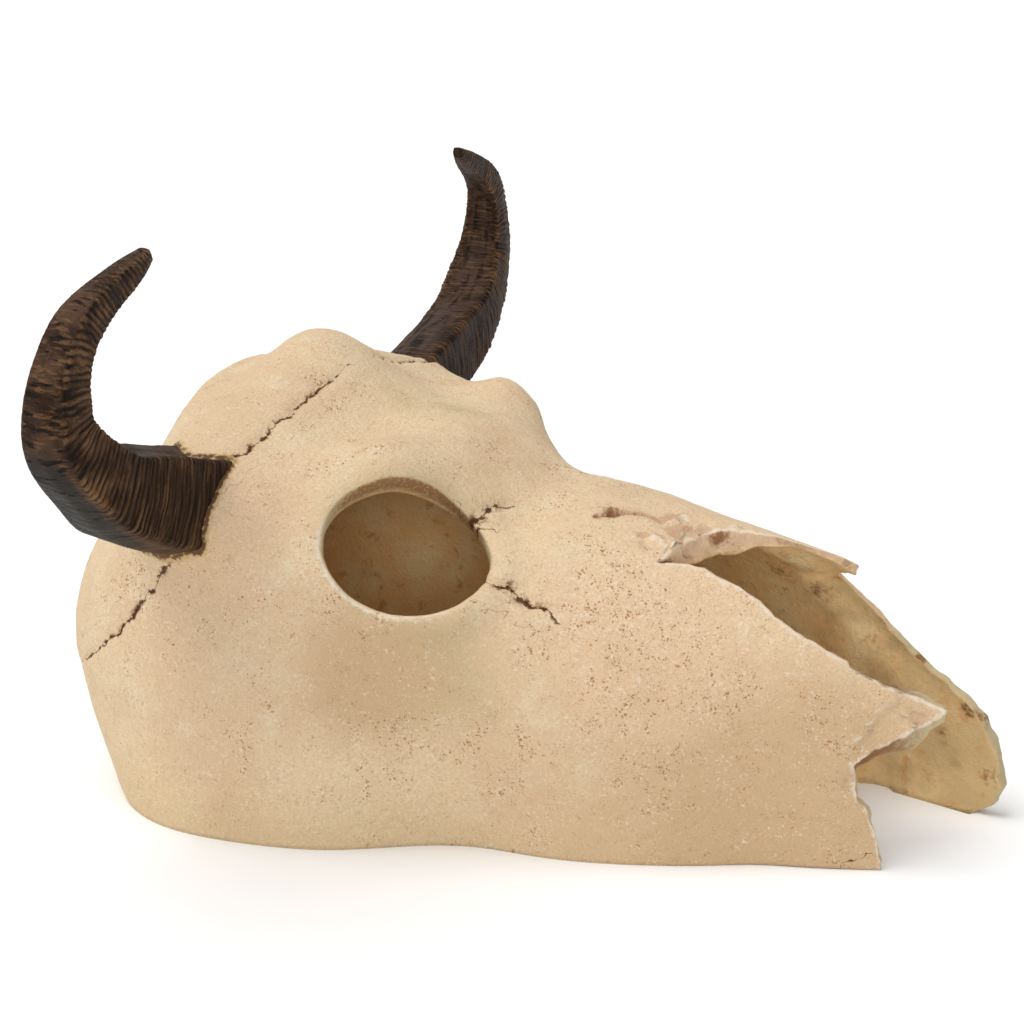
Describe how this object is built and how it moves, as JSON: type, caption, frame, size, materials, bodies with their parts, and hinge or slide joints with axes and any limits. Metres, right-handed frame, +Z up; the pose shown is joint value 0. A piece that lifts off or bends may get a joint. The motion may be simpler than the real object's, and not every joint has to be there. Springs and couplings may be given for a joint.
{
  "type": "hollow bull skull ornament",
  "caption": "Hollow resin ornament in the shape of a horned bull skull, open underneath, at the eye sockets and at the broken nose, used as a hide for small animals.",
  "frame": {"origin": "on the floor under the middle of the whole object's bounding box", "axes": "+X towards the nose, +Y towards the animal's left side and along the spread of the horns, +Z up"},
  "size_m": [0.202, 0.2156, 0.127],
  "materials": {
    "bone": "cast resin painted as old bone: cream and tan, finely pitted, brown stain in the cracks, matte",
    "horn": "cast resin painted dark brown, with close cross grooves dry-brushed golden brown, satin"
  },
  "bodies": {
    "root": {"cranium": "bone", "forehead": "bone", "nose_bridge": "bone", "orbit_right": "bone", "orbit_left": "bone", "cheek_right": "bone", "cheek_left": "bone", "muzzle_right": "bone", "muzzle_left": "bone", "horn_right": "horn", "horn_left": "horn"}
  },
  "joints": []
}
